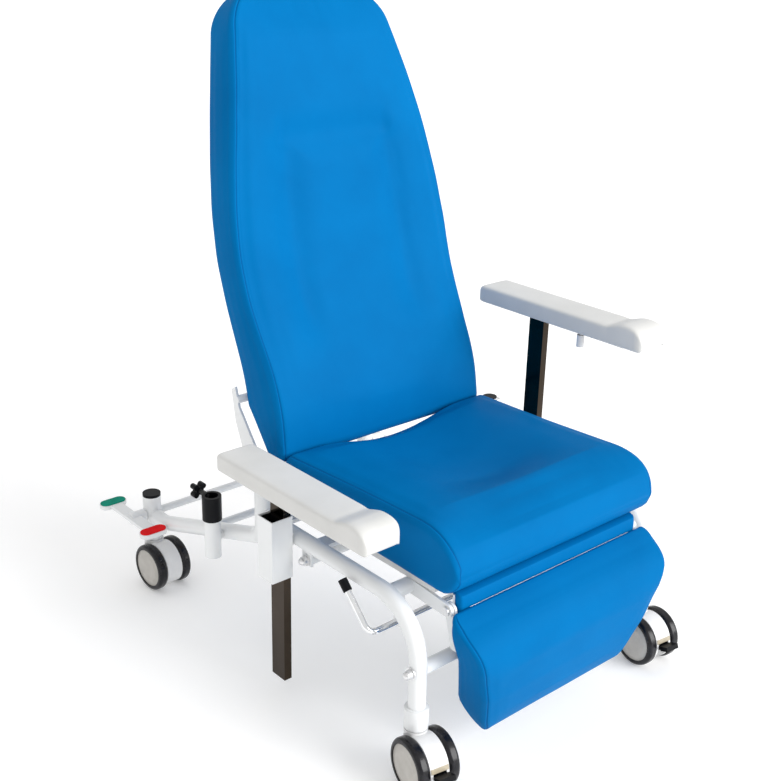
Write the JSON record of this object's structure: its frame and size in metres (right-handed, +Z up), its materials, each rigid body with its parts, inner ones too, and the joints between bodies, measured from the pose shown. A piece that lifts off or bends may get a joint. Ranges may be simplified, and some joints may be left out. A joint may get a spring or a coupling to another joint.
{
  "type": "reclining rest armchair on casters",
  "caption": "Rest armchair for care rooms: reclining high back, lifting legrest, height-adjustable arms, pole holder and braked swivel casters.",
  "frame": {"origin": "on the floor, under the middle of the chair's bounding box", "axes": "+Z up, the chair faces -Y, +X is the sitter's left, which is the far side in the picture"},
  "size_m": [0.745, 1.0361, 1.2218],
  "materials": {
    "white_steel": "white powder coat",
    "polished_steel": "polished",
    "plain_steel": "zinc plated",
    "black_plastic": "satin moulded",
    "black_steel": "black satin",
    "blue_vinyl": "vinyl-coated cloth over foam",
    "pad_foam": "moulded soft foam",
    "white_plastic": "smooth",
    "wheel_grey": "smooth",
    "tyre_black": "smooth tread",
    "green_plastic": "smooth",
    "red_plastic": "smooth",
    "board": "plywood",
    "cast_white": "white coated casting"
  },
  "bodies": {
    "frame": {"side_frame_right": "white_steel", "side_frame_left": "white_steel", "low_cross_tube": "white_steel", "mid_cross_bar": "white_steel", "seat_tube_front": "white_steel", "rear_cross_tube": "white_steel", "frame_bolts": "plain_steel", "column_caps": "black_plastic", "riser_plugs": "black_plastic", "sleeves": "white_steel", "sleeve_guides": "black_plastic", "seat_board": "board", "seat_cushion": "blue_vinyl", "hinge_pins": "plain_steel", "gas_pins": "plain_steel", "pole_holder": "white_steel", "pole_bush": "black_plastic", "caster_stems": "plain_steel", "leg_gas_cylinder": "black_steel"},
    "back": {"back_frame": "white_steel", "back_panel": "board", "back_cushion": "blue_vinyl"},
    "legrest": {"legrest_frame": "white_steel", "legrest_cushion": "blue_vinyl", "infill_strip": "blue_vinyl"},
    "arm_right": {"post_right": "polished_steel", "arm_plate_right": "black_steel", "arm_pad_right": "pad_foam"},
    "arm_left": {"post_left": "polished_steel", "arm_plate_left": "black_steel", "arm_pad_left": "pad_foam"},
    "knob_right": {"release_knob_right": "white_plastic"},
    "knob_left": {"release_knob_left": "white_plastic"},
    "lever": {"lever_rod": "polished_steel", "lever_grip": "black_plastic"},
    "clamp": {"clamp_screw": "black_steel", "star_knob": "black_plastic"},
    "lock": {"lock_shaft": "white_steel", "pedal_bodies": "cast_white", "green_pads": "green_plastic", "red_pads": "red_plastic"},
    "back_gas_body": {"back_gas_cylinder": "black_steel"},
    "back_gas_piston": {"back_gas_rod": "polished_steel"},
    "leg_gas_piston": {"leg_gas_rod": "polished_steel"},
    "caster_front_right": {"housing_front_right": "white_plastic"},
    "wheels_front_right": {"hubs_front_right": "wheel_grey", "tyres_front_right": "tyre_black"},
    "caster_front_left": {"housing_front_left": "white_plastic"},
    "wheels_front_left": {"hubs_front_left": "wheel_grey", "tyres_front_left": "tyre_black"},
    "caster_rear_right": {"housing_rear_right": "white_plastic"},
    "wheels_rear_right": {"hubs_rear_right": "wheel_grey", "tyres_rear_right": "tyre_black"},
    "caster_rear_left": {"housing_rear_left": "white_plastic"},
    "wheels_rear_left": {"hubs_rear_left": "wheel_grey", "tyres_rear_left": "tyre_black"},
    "brake_right": {"brake_pedal_right": "black_plastic"},
    "brake_left": {"brake_pedal_left": "black_plastic"}
  },
  "joints": [
    {"name": "back_recline", "type": "hinge", "parent": "frame", "child": "back", "pos_m": [0, 0.011, 0.392], "axis": [-1, 0, 0], "range_deg": [0, 50]},
    {"name": "legrest_lift", "type": "hinge", "parent": "frame", "child": "legrest", "pos_m": [0, -0.422, 0.3], "axis": [-1, 0, 0], "range_deg": [0, 80]},
    {"name": "arm_right_height", "type": "slide", "parent": "frame", "child": "arm_right", "axis": [0, 0, 1], "range_m": [0, 0.2]},
    {"name": "arm_left_height", "type": "slide", "parent": "frame", "child": "arm_left", "axis": [0, 0, 1], "range_m": [-0.197, 0.003]},
    {"name": "knob_right_push", "type": "slide", "parent": "arm_right", "child": "knob_right", "axis": [0, 0, 1], "range_m": [0, 0.0036], "stiffness_N_per_m": 400, "springref_m": -0.002},
    {"name": "knob_left_push", "type": "slide", "parent": "arm_left", "child": "knob_left", "axis": [0, 0, 1], "range_m": [0, 0.0036], "stiffness_N_per_m": 400, "springref_m": -0.002},
    {"name": "lever_turn", "type": "hinge", "parent": "frame", "child": "lever", "pos_m": [0, -0.329, 0.244], "axis": [1, 0, 0], "range_deg": [0, 25], "stiffness_Nm_per_rad": 1.5, "springref_deg": -17.19},
    {"name": "clamp_turn", "type": "hinge", "parent": "frame", "child": "clamp", "pos_m": [-0.33, 0.16, 0.316], "axis": [0, 1, 0], "continuous": true},
    {"name": "lock_turn", "type": "hinge", "parent": "frame", "child": "lock", "pos_m": [0, 0.418, 0.159], "axis": [1, 0, 0], "range_deg": [-12, 12]},
    {"name": "back_gas_turn", "type": "hinge", "parent": "frame", "child": "back_gas_body", "pos_m": [0, 0.181, 0.24148], "axis": [1, 0, 0], "range_deg": [0, 12]},
    {"name": "back_gas_slide", "type": "slide", "parent": "back_gas_body", "child": "back_gas_piston", "axis": [0, -0.6516, 0.7586], "range_m": [-0.013, 0]},
    {"name": "leg_gas_slide", "type": "slide", "parent": "frame", "child": "leg_gas_piston", "axis": [0, -0.9974, 0.0724], "range_m": [0, 0.03]},
    {"name": "swivel_front_right", "type": "hinge", "parent": "frame", "child": "caster_front_right", "pos_m": [-0.295, -0.418, 0.09], "axis": [0, 0, 1], "continuous": true},
    {"name": "roll_front_right", "type": "hinge", "parent": "caster_front_right", "child": "wheels_front_right", "pos_m": [-0.30038, -0.44853, 0.05], "axis": [0.9848, -0.1736, 0], "continuous": true},
    {"name": "brake_turn_right", "type": "hinge", "parent": "caster_front_right", "child": "brake_right", "pos_m": [-0.30386, -0.46823, 0.04], "axis": [0.9848, -0.1736, 0], "range_deg": [0, 14]},
    {"name": "swivel_front_left", "type": "hinge", "parent": "frame", "child": "caster_front_left", "pos_m": [0.295, -0.418, 0.09], "axis": [0, 0, 1], "continuous": true},
    {"name": "roll_front_left", "type": "hinge", "parent": "caster_front_left", "child": "wheels_front_left", "pos_m": [0.29122, -0.44877, 0.05], "axis": [0.9925, -0.1219, 0], "continuous": true},
    {"name": "brake_turn_left", "type": "hinge", "parent": "caster_front_left", "child": "brake_left", "pos_m": [0.28879, -0.46862, 0.04], "axis": [0.9925, -0.1219, 0], "range_deg": [0, 14]},
    {"name": "swivel_rear_right", "type": "hinge", "parent": "frame", "child": "caster_rear_right", "pos_m": [-0.295, 0.418, 0.09], "axis": [0, 0, 1], "continuous": true},
    {"name": "roll_rear_right", "type": "hinge", "parent": "caster_rear_right", "child": "wheels_rear_right", "pos_m": [-0.29338, 0.38704, 0.05], "axis": [0.9986, 0.0523, 0], "continuous": true},
    {"name": "swivel_rear_left", "type": "hinge", "parent": "frame", "child": "caster_rear_left", "pos_m": [0.295, 0.418, 0.09], "axis": [0, 0, 1], "continuous": true},
    {"name": "roll_rear_left", "type": "hinge", "parent": "caster_rear_left", "child": "wheels_rear_left", "pos_m": [0.29284, 0.38708, 0.05], "axis": [0.9976, -0.0698, 0], "continuous": true}
  ],
  "couplings": [
    {"joint": "back_gas_turn", "follows": "back_recline", "ratio": 0.22},
    {"joint": "back_gas_slide", "follows": "back_recline", "m_per_rad": -0.0132},
    {"joint": "leg_gas_slide", "follows": "legrest_lift", "m_per_rad": 0.0204}
  ]
}
